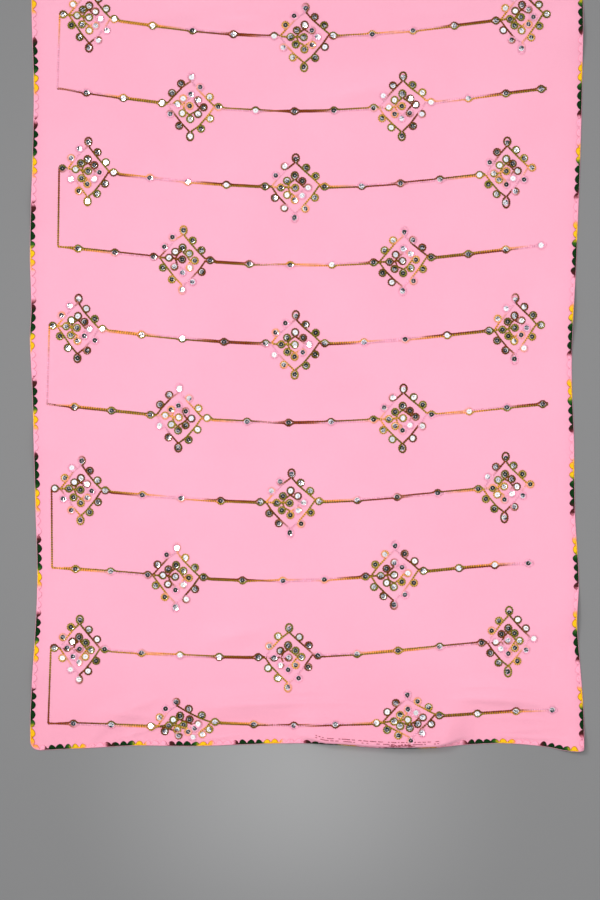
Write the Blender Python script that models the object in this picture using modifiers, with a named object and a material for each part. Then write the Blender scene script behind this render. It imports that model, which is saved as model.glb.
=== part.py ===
"""A dupatta stole laid flat: one panel of soft georgette, edged on its four sides with scalloped lace.

X runs across the cloth, Y from its near end to its far end, and Z up from the surface that it
lies on. The origin is in the middle of the panel, on that surface. Lengths are in metres, and
the tables' columns are in millimetres and degrees.

The panel is first drawn flat, as it is cut. laid() then says where each point of that flat cloth
lies. The lace is drawn on the same flat cloth and moved out from the panel's own faces.
"""

import math

import bpy
import numpy as np
from mathutils import Vector, geometry, interpolate
from mathutils.bvhtree import BVHTree

MM = 0.001

# The panel.
WIDTH = 910 * MM
LENGTH = 2250 * MM
WALL = 1.5 * MM

# The lace: a flat heading along the edge, with half-round scallops that point inwards.
SEAM_GAP = 0.3 * MM
LACE_INSET = 0.4 * MM
LACE_WIDTH = 9.2 * MM
LACE_HEADING = 2.8 * MM
LACE_THICK = 1.0 * MM
SCALLOP_TURNS = (0, 45, 90, 135)

# How far the near and far sides lie inside the panel's ends. Columns: place across, inset.
NEAR_SIDE = (
    (-455, 1.5),
    (-430, 3.0),
    (-356, 6.4),
    (-291, 10.0),
    (-176, 9.5),
    (-118, 11.5),
    (-44, 13.8),
    (46, 13.3),
    (112, 8.5),
    (153, 7.1),
    (202, 8.0),
    (268, 12.2),
    (317, 14.0),
    (366, 11.3),
    (399, 7.2),
    (424, 2.1),
    (455, 0.0),
)
FAR_SIDE = (
    (-455, 2.0),
    (-300, 7.0),
    (-110, 0.3),
    (90, 6.0),
    (280, 4.0),
    (400, 6.0),
    (455, 0.0),
)

# How far the left and right sides lie inside the panel's width. Columns: place along, inset.
LEFT_SIDE = (
    (0, 0.8),
    (52, 0.3),
    (102, 2.6),
    (167, 6.6),
    (249, 11.3),
    (438, 7.9),
    (611, 3.1),
    (685, 0.0),
    (726, 2.0),
    (808, 0.0),
    (964, 3.8),
    (1070, 6.2),
    (1235, 2.5),
    (1420, 6.0),
    (1600, 9.5),
    (1830, 4.0),
    (2040, 1.0),
    (2250, 2.5),
)
RIGHT_SIDE = (
    (0, 0.0),
    (61, 0.5),
    (151, 7.0),
    (217, 11.5),
    (266, 8.7),
    (397, 14.9),
    (512, 16.4),
    (627, 20.2),
    (824, 11.8),
    (1054, 3.9),
    (1235, 1.5),
    (1430, 7.0),
    (1640, 13.0),
    (1860, 8.0),
    (2060, 1.5),
    (2250, 3.0),
)

# The corners, anticlockwise. Columns: name, side across, side along, radius.
CORNERS = (
    ("near_left", -1, -1, 16),
    ("near_right", 1, -1, 6),
    ("far_right", 1, 1, 14),
    ("far_left", -1, 1, 14),
)

# The strips of lace. Columns: name, corner where it starts, corner where it ends, whether it goes
# round that last corner, scallops' pitch, colour that shows most.
LACES = (
    ("lace_near", 0, 1, False, 13.2, (0.01, 0.10, 0.03, 1)),
    ("lace_right", 1, 2, True, 15.2, (0.80, 0.50, 0.02, 1)),
    ("lace_far", 2, 3, True, 13.2, (0.20, 0.02, 0.04, 1)),
    ("lace_left", 3, 0, True, 15.2, (0.02, 0.14, 0.04, 1)),
)

# The hem roll: a stretch of the near hem that stands up on its edge and rolls over.
ROLL_FROM = -30 * MM
ROLL_TO = 278 * MM
ROLL_EASE = 68 * MM
ROLL_ANGLE = math.radians(84)
ROLL_HEIGHT = 13 * MM
ROLL_RADIUS = 3.5 * MM
ROLL_RUN = 72 * MM

# Soft folds that lift the cloth. Columns: centre across, place along, half its length, half its
# width, height, turn from the X axis, sag of its middle towards the near end.
FOLDS = (
    (-95, 74, 165, 34, 5.0, 1, -5),
    (318, 84, 125, 34, 5.5, -4, -9),
    (-310, 62, 80, 30, 4.0, 24, 0),
    (-120, 186, 95, 32, 3.5, 8, -6),
    (-455, 132, 70, 60, 3.5, 0, 0),
    (452, 4, 62, 46, 6.0, 45, 0),
    (440, 222, 85, 60, 5.0, 0, 0),
    (-446, 500, 80, 70, 4.0, 0, 0),
    (434, 716, 85, 75, 4.5, 4, 0),
    (-452, 905, 70, 60, 3.5, -5, 0),
    (100, 1092, 130, 42, 4.5, 8, 6),
    (-215, 1228, 150, 44, 4.5, -3, 8),
    (448, 1180, 75, 62, 4.0, 0, 0),
    (170, 1500, 190, 50, 5.5, -5, 10),
    (-446, 1530, 85, 70, 4.5, 6, 0),
    (-250, 1720, 150, 46, 5.0, 7, -8),
    (442, 1700, 90, 70, 5.0, 0, 0),
    (60, 1960, 210, 50, 5.5, 3, -10),
    (-450, 2010, 75, 60, 4.0, 0, 0),
    (250, 2140, 130, 44, 5.0, -6, 7),
    (-452, 2246, 62, 46, 5.5, -45, 0),
)

# Distances between the mesh's points: on flat cloth, on the lifted edge, along the folds, on the
# hem roll, and on the curve that the edge is measured along.
FLAT_STEP = 62 * MM
EDGE_STEP = 21 * MM
FOLD_STEP = 30 * MM
ROLL_STEP = 6.5 * MM
OUTLINE_STEP = 1.5 * MM
# Points in each corner's round, and the columns of the hem roll for each one down its slope.
ROUND_POINTS = 6
SLOPE_COLUMNS = 3
# Where the rows of points lie: on a fold, in half widths, and on the hem roll, in shares of its
# standing band, of its bend and of its slope.
FOLD_ROWS = (-0.94, -0.5, 0.0, 0.5, 0.94)
BAND_ROWS = (0.33, 0.67, 1.0)
BEND_ROWS = (0.33, 0.67, 1.0)
SLOPE_ROWS = (0.17, 0.36, 0.55, 0.76, 1.0)
# How near two points may lie, as a share of their step, and a point to the edge, as a share of that.
CROWDING = 0.55
EDGE_CROWDING = 0.8
# The least lift, distance and area that count.
LIFTED = 0.02 * MM
MERGE = 0.1 * MM
SLIVER = 0.0002 * MM**2

PINK = (1.0, 0.49, 0.62, 1)
ROUGHNESS = 0.85


def eased(share):
    """A smooth step: 0 up to 0, 1 from 1 on."""
    return (1 - math.cos(math.pi * min(max(share, 0.0), 1.0))) / 2


def through(table, at):
    """The value at a place along a smooth curve through a table's rows of place and value."""
    place, value = np.array(table, float).T * MM
    slope = np.gradient(value, place)
    i = int(np.clip(np.searchsorted(place, at) - 1, 0, len(place) - 2))
    step = place[i + 1] - place[i]
    t = min(max((at - place[i]) / step, 0.0), 1.0)
    start = value[i] * (1 + 2 * t) + step * slope[i] * t
    end = value[i + 1] * (3 - 2 * t) - step * slope[i + 1] * (1 - t)
    return float(start * (1 - t) ** 2 + end * t**2)


def side_x(side, y):
    """Where the left (-1) or right (1) side of the cut lies at y."""
    inset = through(LEFT_SIDE if side < 0 else RIGHT_SIDE, y + LENGTH / 2)
    return side * (WIDTH / 2 - inset)


def side_y(side, x):
    """Where the near (-1) or far (1) side of the panel lies at x, seen from above."""
    inset = through(NEAR_SIDE if side < 0 else FAR_SIDE, x)
    return side * (LENGTH / 2 - inset)


def roll_angle(x):
    """How steeply the near hem stands at x."""
    rise = eased((x - ROLL_FROM) / ROLL_EASE)
    fall = eased((ROLL_TO - x) / ROLL_EASE)
    return ROLL_ANGLE * rise * fall


def hem_drawn_in(x):
    """How far the roll draws the near hem in from the line where it was cut."""
    return ROLL_HEIGHT * (1 - math.cos(roll_angle(x)))


def cut_y(side, x):
    """Where the near or far side of the flat cloth is cut at x."""
    return side_y(side, x) - (hem_drawn_in(x) if side < 0 else 0)


def rolled(x, inward):
    """Where the cloth at a distance in from the near hem lies: how far in from it, and how high."""
    angle = roll_angle(x)
    soft = ROLL_RADIUS * math.tan(angle / 2)
    straight = min(inward, ROLL_HEIGHT - soft)
    across = straight * math.cos(angle)
    height = straight * math.sin(angle)
    if soft > 0 and inward > straight:
        left = angle * (1 - min((inward - straight) / (2 * soft), 1))
        across += ROLL_RADIUS * (math.sin(angle) - math.sin(left))
        height += ROLL_RADIUS * (math.cos(left) - math.cos(angle))
    beyond = max(inward - ROLL_HEIGHT - soft, 0)
    return across + beyond, height * (1 - eased(beyond / ROLL_RUN))


def fold_place(fold, share_along, share_across):
    """The point of the flat cloth at shares of a fold's half length and half width."""
    x, along, half_length, half_width, _, turn, sag = fold
    angle = math.radians(turn)
    a = share_along * half_length
    b = share_across * half_width - sag * (1 - share_along**2)
    x += a * math.cos(angle) - b * math.sin(angle)
    along += a * math.sin(angle) + b * math.cos(angle)
    return x * MM, along * MM - LENGTH / 2


def fold_lift(x, y):
    """How far the soft folds lift the cloth at x, y."""
    lift = 0.0
    for centre, along, half_length, half_width, height, turn, sag in FOLDS:
        angle = math.radians(turn)
        dx = x - centre * MM
        dy = y + LENGTH / 2 - along * MM
        a = (dx * math.cos(angle) + dy * math.sin(angle)) / (half_length * MM)
        b = dy * math.cos(angle) - dx * math.sin(angle) + sag * MM * (1 - a * a)
        b /= half_width * MM
        if abs(a) < 1 and abs(b) < 1:
            lift += height * MM * eased(1 - abs(a)) * eased(1 - abs(b))
    return lift


def laid(x, y):
    """Where the underside of the flat cloth's point x, y lies."""
    inward = y - cut_y(-1, x)
    across, height = rolled(x, inward)
    return Vector((x, side_y(-1, x) + across, height + fold_lift(x, y)))


class Outline:
    """The flat cloth's cut edge, anticlockwise from the near left corner."""

    def __init__(self):
        points, self.rounds = [], []
        for i, (_, across, along, radius) in enumerate(CORNERS):
            centre = self.corner_centre(i)
            first = len(points)
            turns = max(4, round(radius * MM * math.pi / 2 / OUTLINE_STEP))
            start = math.atan2(along, across) - math.pi / 4
            for k in range(turns + 1):
                angle = start + math.pi / 2 * k / turns
                ray = Vector((math.cos(angle), math.sin(angle)))
                points.append(centre + ray * radius * MM)
            self.rounds.append((first, len(points) - 1))
            points += self.side_after(i)
        self.points = np.array(points)
        steps = np.linalg.norm(np.roll(self.points, -1, 0) - self.points, axis=1)
        self.along = np.concatenate([[0], np.cumsum(steps)])
        self.length = float(self.along[-1])

    @staticmethod
    def corner_centre(i):
        """The centre of a corner's round, one radius in from both of its sides."""
        _, across, along, radius = CORNERS[i % len(CORNERS)]
        x = across * (WIDTH / 2 - radius * MM)
        for _ in range(3):
            y = cut_y(along, x) - along * radius * MM
            x = side_x(across, y) - across * radius * MM
        return Vector((x, y))

    def side_after(self, i):
        """The points between a corner's round and the next one's, without their ends."""
        start, end = self.corner_centre(i), self.corner_centre(i + 1)
        axis = 0 if abs(end.x - start.x) > abs(end.y - start.y) else 1
        steps = round(abs(end[axis] - start[axis]) / OUTLINE_STEP)
        places = [start[axis] + (end[axis] - start[axis]) * k / steps for k in range(1, steps)]
        _, across, along, _ = CORNERS[i]
        if axis == 0:
            return [Vector((x, cut_y(along, x))) for x in places]
        return [Vector((side_x(across, y), y)) for y in places]

    def at(self, along, inward=0.0):
        """The flat cloth's point at a distance along the edge and a distance in from it."""
        closed = np.vstack([self.points, self.points[:1]])
        near = [[np.interp((along + reach) % self.length, self.along, closed[:, k]) for k in (0, 1)]
                for reach in (-OUTLINE_STEP, 0, OUTLINE_STEP)]
        before, here, after = map(Vector, near)
        travel = (after - before).normalized()
        return here + Vector((-travel.y, travel.x)) * inward

    def round_start(self, i):
        return float(self.along[self.rounds[i][0]])

    def round_end(self, i):
        return float(self.along[self.rounds[i][1]])


def is_lifted(x, y):
    return laid(x, y).z > LIFTED


def edge_points(outline):
    """The points of the flat cloth's edge, closer together where it is lifted, rolled or round."""
    count = round(outline.length / ROLL_STEP)
    step = outline.length / count
    sparse = round(FLAT_STEP / ROLL_STEP)
    medium = round(EDGE_STEP / ROLL_STEP)
    rounds = [(outline.round_start(i), outline.round_end(i)) for i in range(len(CORNERS))]
    places = {along for ends in rounds for along in np.linspace(*ends, ROUND_POINTS)}
    for k in range(count):
        along = k * step
        x, y = outline.at(along)
        near_hem = y < 0 and roll_angle(x) > 0
        lifted = any(is_lifted(*outline.at(along + reach)) for reach in (-EDGE_STEP, 0, EDGE_STEP))
        crowded = any(start - step < along < end + step for start, end in rounds)
        wanted = near_hem or k % sparse == 0 or lifted and k % medium == 0
        if wanted and not crowded:
            places.add(along)
    return [outline.at(along) for along in sorted(places)]


def roll_points():
    """Rows of points on the hem roll: up its standing band, over its bend and down its slope."""
    points = []
    columns = round((ROLL_TO - ROLL_FROM) / ROLL_STEP)
    for k in range(columns + 1):
        x = ROLL_FROM + (ROLL_TO - ROLL_FROM) * k / columns
        hem = cut_y(-1, x)
        soft = ROLL_RADIUS * math.tan(roll_angle(x) / 2)
        rows = [(ROLL_HEIGHT - soft) * share for share in BAND_ROWS]
        rows += [ROLL_HEIGHT - soft + 2 * soft * share for share in BEND_ROWS]
        points += [(Vector((x, hem + row)), CROWDING * 2 * MM) for row in rows]
        if k % SLOPE_COLUMNS == 0:
            rows = [ROLL_HEIGHT + soft + ROLL_RUN * share for share in SLOPE_ROWS]
            points += [(Vector((x, hem + row)), CROWDING * EDGE_STEP) for row in rows]
    return points


def fold_points():
    """Rows of points along each fold: its foot, its flanks and its ridge."""
    points = []
    for fold in FOLDS:
        half_length, half_width = fold[2] * MM, fold[3] * MM
        steps = round(2 * half_length / FOLD_STEP)
        apart = CROWDING * min(FOLD_STEP, half_width / 2)
        for k in range(steps + 1):
            share = 2 * k / steps - 1
            points += [(Vector(fold_place(fold, share, row)), apart) for row in FOLD_ROWS]
    return points


def field_points():
    """A lattice of points over the whole panel, every other row shifted by half a step."""
    points = []
    rows = round(LENGTH / (FLAT_STEP * math.cos(math.radians(30))))
    columns = round(WIDTH / FLAT_STEP)
    for j in range(rows + 1):
        for i in range(columns + 1):
            x = ((i + 0.5 * (j % 2)) / columns - 0.5) * WIDTH
            y = (j / rows - 0.5) * LENGTH
            points.append((Vector((x, y)), CROWDING * FLAT_STEP))
    return points


def inside(polygon, point):
    """Whether a point lies inside a closed polygon, and how far it is from the polygon's line."""
    start, end = polygon, np.roll(polygon, -1, 0)
    span = end - start
    there = np.array(point) - start
    share = np.clip((there * span).sum(1) / (span**2).sum(1), 0, 1)
    distance = np.linalg.norm(there - share[:, None] * span, axis=1).min()
    crosses = (start[:, 1] > point[1]) != (end[:, 1] > point[1])
    at = start[crosses, 0] + span[crosses, 0] * (point[1] - start[crosses, 1]) / span[crosses, 1]
    return (at > point[0]).sum() % 2 == 1, distance


def thinned(edge, candidates):
    """The candidates that lie inside the edge, clear of it and of all those kept before them."""
    kept = np.array(edge)
    outline = kept.copy()
    for point, apart in candidates:
        within, distance = inside(outline, point)
        if not within or distance < apart * EDGE_CROWDING:
            continue
        if np.linalg.norm(kept - np.array(point), axis=1).min() > apart:
            kept = np.vstack([kept, np.array(point)])
    return [Vector(p) for p in kept[len(edge):]]


def sheet_object(name, points, faces, thickness, colour, collection):
    """A wall of one thickness, grown upwards from an open surface."""
    mesh = bpy.data.meshes.new(name)
    mesh.from_pydata(points, [], faces)
    mesh.validate()
    mesh.shade_smooth()
    obj = bpy.data.objects.new(name, mesh)
    collection.objects.link(obj)
    wall = obj.modifiers.new("wall", "SOLIDIFY")
    wall.thickness = thickness
    wall.offset = 1
    material = bpy.data.materials.new(name)
    material.use_nodes = True
    shader = material.node_tree.nodes["Principled BSDF"]
    shader.inputs["Base Color"].default_value = colour
    shader.inputs["Roughness"].default_value = ROUGHNESS
    shader.inputs["Metallic"].default_value = 0
    mesh.materials.append(material)
    return obj


def triangles_in(polygon, points, splits=()):
    """The polygon cut into triangles, with points and edges inside it: (flat points, triangles)."""
    corners = polygon + points
    loop = list(range(len(polygon)))
    cut, _, faces, _, _, owners = geometry.delaunay_2d_cdt(corners, splits, [loop], 0, MERGE, True)
    faces = [face for face, owner in zip(faces, owners) if owner]
    faces = [face for face in faces if geometry.area_tri(*(cut[i] for i in face)) > SLIVER]
    used = sorted({i for face in faces for i in face})
    number = {i: k for k, i in enumerate(used)}
    return [cut[i] for i in used], [[number[i] for i in face] for face in faces]


def make_panel(outline, collection):
    """The panel, and its flat form: (flat points, triangles, laid points, normals)."""
    edge = edge_points(outline)
    inner = thinned(edge, roll_points() + fold_points() + field_points())
    flat, faces = triangles_in(edge, inner)
    points = [laid(*p) for p in flat]
    panel = sheet_object("cloth_panel", points, faces, WALL, PINK, collection)
    normals = [vertex.normal.copy() for vertex in panel.data.vertices]
    return [p.to_3d() for p in flat], faces, points, normals


def lace_outline(outline, start, end, pitch):
    """A strip of lace on the flat cloth: out along its straight side, back over its scallops."""
    count = 2 * round((end - start) / pitch / 2)
    step = (end - start) / count
    straight = [outline.at(start + i * step, LACE_INSET) for i in range(0, count + 1, 2)]
    scallops = []
    for i in range(count):
        for turn in SCALLOP_TURNS:
            angle = math.radians(turn)
            along = start + (i + (1 - math.cos(angle)) / 2) * step
            depth = LACE_HEADING + (LACE_WIDTH - LACE_HEADING) * math.sin(angle)
            scallops.append(outline.at(along, depth))
    scallops.append(outline.at(end, LACE_HEADING))
    return straight + scallops[::-1]


def make_lace(name, strip, panel, colour, collection):
    """A strip of lace that lies on the panel's own faces, split where it crosses their edges."""
    flat, faces, points, normals = panel
    places = np.array(flat)[:, :2]
    low = np.array(strip).min(0) - FLAT_STEP
    high = np.array(strip).max(0) + FLAT_STEP
    near = np.flatnonzero(((places > low) & (places < high)).all(1)).tolist()
    number = {i: len(strip) + k for k, i in enumerate(near)}
    lifted_faces = [f for f in faces if max(points[i].z for i in f) > LIFTED]
    edges = sorted({tuple(sorted((f[k], f[k - 1]))) for f in lifted_faces for k in range(3)})
    splits = [(number[a], number[b]) for a, b in edges if a in number and b in number]
    cut, parts = triangles_in(strip, [flat[i].xy for i in near], splits)
    tree = BVHTree.FromPolygons(flat, faces)
    moved_out = []
    for p in cut:
        spot, _, face, _ = tree.find_nearest(p.to_3d())
        shares = interpolate.poly_3d_calc([flat[k] for k in faces[face]], spot)
        out = [points[k] + normals[k] * (WALL + SEAM_GAP) for k in faces[face]]
        moved_out.append(sum((q * share for q, share in zip(out, shares)), Vector()))
    sheet_object(name, moved_out, parts, LACE_THICK, colour, collection)


def make_laces(outline, panel, collection):
    for name, first, last, goes_round, pitch, colour in LACES:
        start = outline.round_end(first) + SEAM_GAP / 2
        if goes_round:
            end = outline.round_end(last) - SEAM_GAP / 2
        else:
            room = LACE_WIDTH - CORNERS[last][3] * MM
            end = outline.round_start(last) - room - SEAM_GAP
        if end < start:
            end += outline.length
        strip = lace_outline(outline, start, end, pitch * MM)
        make_lace(name, strip, panel, colour, collection)


def main():
    for obj in list(bpy.data.objects):
        bpy.data.objects.remove(obj, do_unlink=True)
    collection = bpy.data.collections.new("dupatta_stole")
    bpy.context.scene.collection.children.link(collection)
    outline = Outline()
    panel = make_panel(outline, collection)
    make_laces(outline, panel, collection)


main()
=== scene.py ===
"""The looks of a dupatta stole laid flat: its cloth, scalloped lace, chain stitches and sequins.

Lengths in the tables are in millimetres and angles in degrees. A place along the stole is
measured from its near end, and the shape of the laid cloth is the same as in the CAD.
"""

import math

import bpy
import numpy as np
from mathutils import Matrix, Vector


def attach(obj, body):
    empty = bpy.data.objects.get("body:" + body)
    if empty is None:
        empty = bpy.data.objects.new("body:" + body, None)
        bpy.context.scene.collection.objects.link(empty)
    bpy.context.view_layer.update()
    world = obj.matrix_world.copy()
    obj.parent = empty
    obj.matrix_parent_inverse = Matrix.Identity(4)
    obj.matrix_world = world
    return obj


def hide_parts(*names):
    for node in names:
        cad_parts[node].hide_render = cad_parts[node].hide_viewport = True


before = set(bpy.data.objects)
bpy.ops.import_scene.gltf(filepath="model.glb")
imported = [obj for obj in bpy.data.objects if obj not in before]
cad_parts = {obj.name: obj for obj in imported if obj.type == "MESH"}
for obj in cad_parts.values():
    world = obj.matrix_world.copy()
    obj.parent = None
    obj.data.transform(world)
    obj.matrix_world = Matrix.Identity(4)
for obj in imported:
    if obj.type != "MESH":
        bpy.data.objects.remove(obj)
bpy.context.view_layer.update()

MM = 0.001

# ---------------- the laid cloth, as in the CAD

WIDTH = 910 * MM
LENGTH = 2250 * MM

NEAR_SIDE = (
    (-455, 1.5), (-430, 3.0), (-356, 6.4), (-291, 10.0), (-176, 9.5), (-118, 11.5), (-44, 13.8),
    (46, 13.3), (112, 8.5), (153, 7.1), (202, 8.0), (268, 12.2), (317, 14.0), (366, 11.3),
    (399, 7.2), (424, 2.1), (455, 0.0),
)
FAR_SIDE = (
    (-455, 2.0), (-300, 7.0), (-110, 0.3), (90, 6.0), (280, 4.0), (400, 6.0), (455, 0.0),
)
LEFT_SIDE = (
    (0, 0.8), (52, 0.3), (102, 2.6), (167, 6.6), (249, 11.3), (438, 7.9), (611, 3.1), (685, 0.0),
    (726, 2.0), (808, 0.0), (964, 3.8), (1070, 6.2), (1235, 2.5), (1420, 6.0), (1600, 9.5),
    (1830, 4.0), (2040, 1.0), (2250, 2.5),
)
RIGHT_SIDE = (
    (0, 0.0), (61, 0.5), (151, 7.0), (217, 11.5), (266, 8.7), (397, 14.9), (512, 16.4), (627, 20.2),
    (824, 11.8), (1054, 3.9), (1235, 1.5), (1430, 7.0), (1640, 13.0), (1860, 8.0), (2060, 1.5),
    (2250, 3.0),
)
# The corners, anticlockwise from the near left. Columns: side across, side along, radius.
CORNERS = ((-1, -1, 16), (1, -1, 6), (1, 1, 14), (-1, 1, 14))

ROLL_FROM = -30 * MM
ROLL_TO = 278 * MM
ROLL_EASE = 68 * MM
ROLL_ANGLE = math.radians(84)
ROLL_HEIGHT = 13 * MM
ROLL_RADIUS = 3.5 * MM
ROLL_RUN = 72 * MM

# Soft folds. Columns: centre across, place along, half its length, half its width, height, turn
# from the X axis, sag of its middle towards the near end.
FOLDS = (
    (-95, 74, 165, 34, 5.0, 1, -5),
    (318, 84, 125, 34, 5.5, -4, -9),
    (-310, 62, 80, 30, 4.0, 24, 0),
    (-120, 186, 95, 32, 3.5, 8, -6),
    (-455, 132, 70, 60, 3.5, 0, 0),
    (452, 4, 62, 46, 6.0, 45, 0),
    (440, 222, 85, 60, 5.0, 0, 0),
    (-446, 500, 80, 70, 4.0, 0, 0),
    (434, 716, 85, 75, 4.5, 4, 0),
    (-452, 905, 70, 60, 3.5, -5, 0),
    (100, 1092, 130, 42, 4.5, 8, 6),
    (-215, 1228, 150, 44, 4.5, -3, 8),
    (448, 1180, 75, 62, 4.0, 0, 0),
    (170, 1500, 190, 50, 5.5, -5, 10),
    (-446, 1530, 85, 70, 4.5, 6, 0),
    (-250, 1720, 150, 46, 5.0, 7, -8),
    (442, 1700, 90, 70, 5.0, 0, 0),
    (60, 1960, 210, 50, 5.5, 3, -10),
    (-450, 2010, 75, 60, 4.0, 0, 0),
    (250, 2140, 130, 44, 5.0, -6, 7),
    (-452, 2246, 62, 46, 5.5, -45, 0),
)

# ---------------- what the looks add

# Finer creases, in the same columns as the folds. A negative height is a trough.
CREASES = (
    (-20, 72, 172, 6, 2.4, 1, -8), (-20, 81, 165, 8, -1.8, 1, -8), (40, 52, 130, 5, 1.6, -1, -4),
    (312, 73, 122, 7, 2.6, -4, -12), (312, 86, 110, 8, -1.9, -4, -12),
    (330, 50, 96, 5, 1.5, -2, -6), (-260, 40, 62, 6, 1.9, 20, 2), (-282, 62, 70, 7, 2.0, -6, 3),
    (-268, 80, 60, 6, 1.6, 22, 2), (-345, 28, 40, 6, 1.4, 50, 0), (-315, 24, 34, 5, 1.2, 72, 0),
    (-285, 24, 30, 5, 1.1, 96, 0), (-150, 26, 60, 5, 1.2, 4, 3), (-106, 187, 50, 7, 2.0, 4, -8),
    (-112, 198, 55, 8, -1.2, 4, -8), (30, 115, 36, 6, 1.2, -14, 0), (-28, 30, 46, 6, 1.3, 78, 0),
    (360, 24, 85, 5, 1.5, -3, 0), (365, 36, 70, 5, 1.2, 4, 0), (150, 30, 44, 6, 1.5, 62, 0),
    (190, 34, 40, 6, 1.4, 84, 0), (232, 30, 40, 6, 1.4, 108, 0), (410, 150, 60, 10, 0.9, 82, 4),
    (-420, 300, 90, 10, 0.8, 94, -4), (395, 430, 80, 11, 0.8, 97, 5),
    (250, 348, 120, 14, 0.7, 10, 6), (-150, 470, 130, 15, 0.6, -8, 5),
    (-420, 655, 70, 10, 0.7, 86, 5), (70, 610, 150, 16, 0.6, 6, -6),
    (404, 830, 80, 12, 0.8, 84, -5), (-240, 850, 120, 14, 0.6, 12, 6),
    (78, 1084, 60, 7, 1.8, 12, 3), (72, 1098, 58, 8, -1.2, 12, 3), (-104, 1204, 62, 7, 1.7, 3, 4),
    (-60, 1222, 130, 9, 1.3, -3, 4), (-250, 1210, 110, 9, 1.0, 2, 4),
    (210, 1216, 120, 10, 1.0, 5, 3), (300, 1330, 110, 12, 0.9, -9, 5),
    (-180, 1390, 130, 13, 0.8, 7, -5), (80, 1560, 140, 10, 1.2, -4, 9),
    (400, 1590, 70, 10, 0.8, 80, 0), (-300, 1600, 110, 12, 0.9, -14, 6),
    (-210, 1760, 120, 10, 1.2, 9, -6), (220, 1790, 130, 13, 0.8, -7, 6),
    (40, 1990, 170, 10, 1.4, 3, -9), (-330, 2070, 90, 9, 1.1, 16, 4),
    (250, 2170, 120, 9, 1.3, -6, 6), (-80, 2200, 90, 8, 1.0, 4, -3), (380, 2212, 60, 7, 1.0, 48, 0),
)

CLOTH = 0.7 * MM
# How far what is sewn on keeps clear of the cloth's face.
CLEAR = 0.05 * MM
# How far to each side the cloth's slope is taken.
SLOPE_REACH = 0.4 * MM
CLOTH_COLUMNS = 118
# Rows of the cloth's mesh. Columns: distance in from the near end up to which they go, height.
CLOTH_ROWS = ((21, 1.5), (96, 4.0), (1260, 7.4), (2250, 9.0))

# How the colours of cloth and lace deepen towards the two ends, as painted shade, and towards the two
# sides, partly as the doubled hem's own deeper colour and partly as painted shade. Columns:
# distance in from the edge, share of each colour kept.
END_PAINTED_SHADE = (
    (45, (0.985, 0.92, 0.925)),
    (95, (0.99, 0.96, 0.965)),
    (160, (1.0, 1.0, 1.0)),
)
SIDE_HEM_AND_SHADE = (
    (9, (0.985, 0.94, 0.955)),
    (16, (1.0, 0.985, 0.99)),
    (30, (1.0, 1.0, 1.0)),
)

# The lace. Distances in from the cut edge: its start, its end, the end of its heading, and its
# scallops' middles.
LACE_INSET = 0.5 * MM
LACE_WIDTH = 9.2 * MM
LACE_HEADING = 2.8 * MM
LACE_MIDDLE = LACE_HEADING + 1.4 * MM
# A scallop from its middle out. Columns: share of the way to its edge, height, 1 where it is
# ribbed, 1 where it has its rim's colour, which is partly the outline's own colour and partly
# painted shade where the scallop falls away to its edge.
LACE_PROFILE = (
    (0.0, 0.05, 0, 0),
    (0.01, 0.85, 0, 0),
    (0.35, 1.0, 1, 0),
    (0.62, 0.8, 1, 0),
    (0.85, 0.9, 1, 1),
    (1.0, 0.05, 0, 1),
)
# Half a scallop's width as a share of the pitch, points round it, how pointed it is, ribs' height.
LACE_HALF = 0.49
LACE_STEPS = 20
LACE_POINTED = 1.25
LACE_RIB = 0.10 * MM
# The heading across. Columns: distance in, height. Then its cells to a scallop, and the share of
# its height that every other cell's end keeps.
HEADING_PROFILE = ((0.5, 0.05), (1.0, 0.9), (2.1, 0.9), (2.8, 0.35))
HEADING_CELLS = 6
HEADING_DIP = 0.72
# The gap between two lengths of lace.
SEAM_GAP = 0.3 * MM
# Columns: name, node it replaces, corner where it starts, corner where it ends, whether it goes
# round that last corner, scallops' pitch.
LACES = (
    ("lace_near_scallops", "lace_near", 0, 1, False, 13.2),
    ("lace_right_scallops", "lace_right", 1, 2, True, 15.2),
    ("lace_far_scallops", "lace_far", 2, 3, True, 13.2),
    ("lace_left_scallops", "lace_left", 3, 0, True, 15.2),
)
# Where each stretch of green lace starts: across on the near and far ends, from the left, and
# along on the two sides, from the near end.
GREENS = {
    "lace_near": (-529, -430, -325, -226, -117, 0, 128, 264, 386, 500),
    "lace_far": (-520, -400, -285, -170, -60, 55, 172, 290, 400, 515),
    "lace_left": (
        -46, 104, 226, 348, 487, 609, 735, 896, 1031, 1166,
        1296, 1428, 1562, 1690, 1825, 1952, 2085, 2215, 2340,
    ),
    "lace_right": (
        -90, 28, 151, 276, 398, 529, 654, 783, 919, 1046,
        1184, 1312, 1440, 1570, 1702, 1830, 1962, 2092, 2220, 2350,
    ),
}
# The lace's colours from one green stretch to the next. Columns: share of the way, colour of a
# scallop, colour of its rim, which is partly painted shade.
LACE_COLOURS = (
    (0.00, (0.060, 0.012, 0.012), (0.110, 0.012, 0.018)),
    (0.035, (0.022, 0.014, 0.008), (0.060, 0.012, 0.010)),
    (0.07, (0.002, 0.026, 0.004), (0.004, 0.012, 0.003)),
    (0.33, (0.002, 0.034, 0.004), (0.001, 0.016, 0.003)),
    (0.38, (0.030, 0.130, 0.015), (0.012, 0.050, 0.010)),
    (0.41, (0.480, 0.420, 0.012), (0.200, 0.160, 0.010)),
    (0.44, (0.900, 0.560, 0.010), (0.560, 0.250, 0.008)),
    (0.58, (0.900, 0.530, 0.010), (0.640, 0.240, 0.008)),
    (0.62, (0.950, 0.400, 0.120), (0.840, 0.250, 0.060)),
    (0.65, (0.966, 0.410, 0.520), (0.940, 0.380, 0.490)),
    (0.94, (0.966, 0.413, 0.560), (0.940, 0.390, 0.525)),
    (0.97, (0.420, 0.120, 0.150), (0.300, 0.040, 0.070)),
    (1.00, (0.060, 0.012, 0.012), (0.110, 0.012, 0.018)),
)
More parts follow.
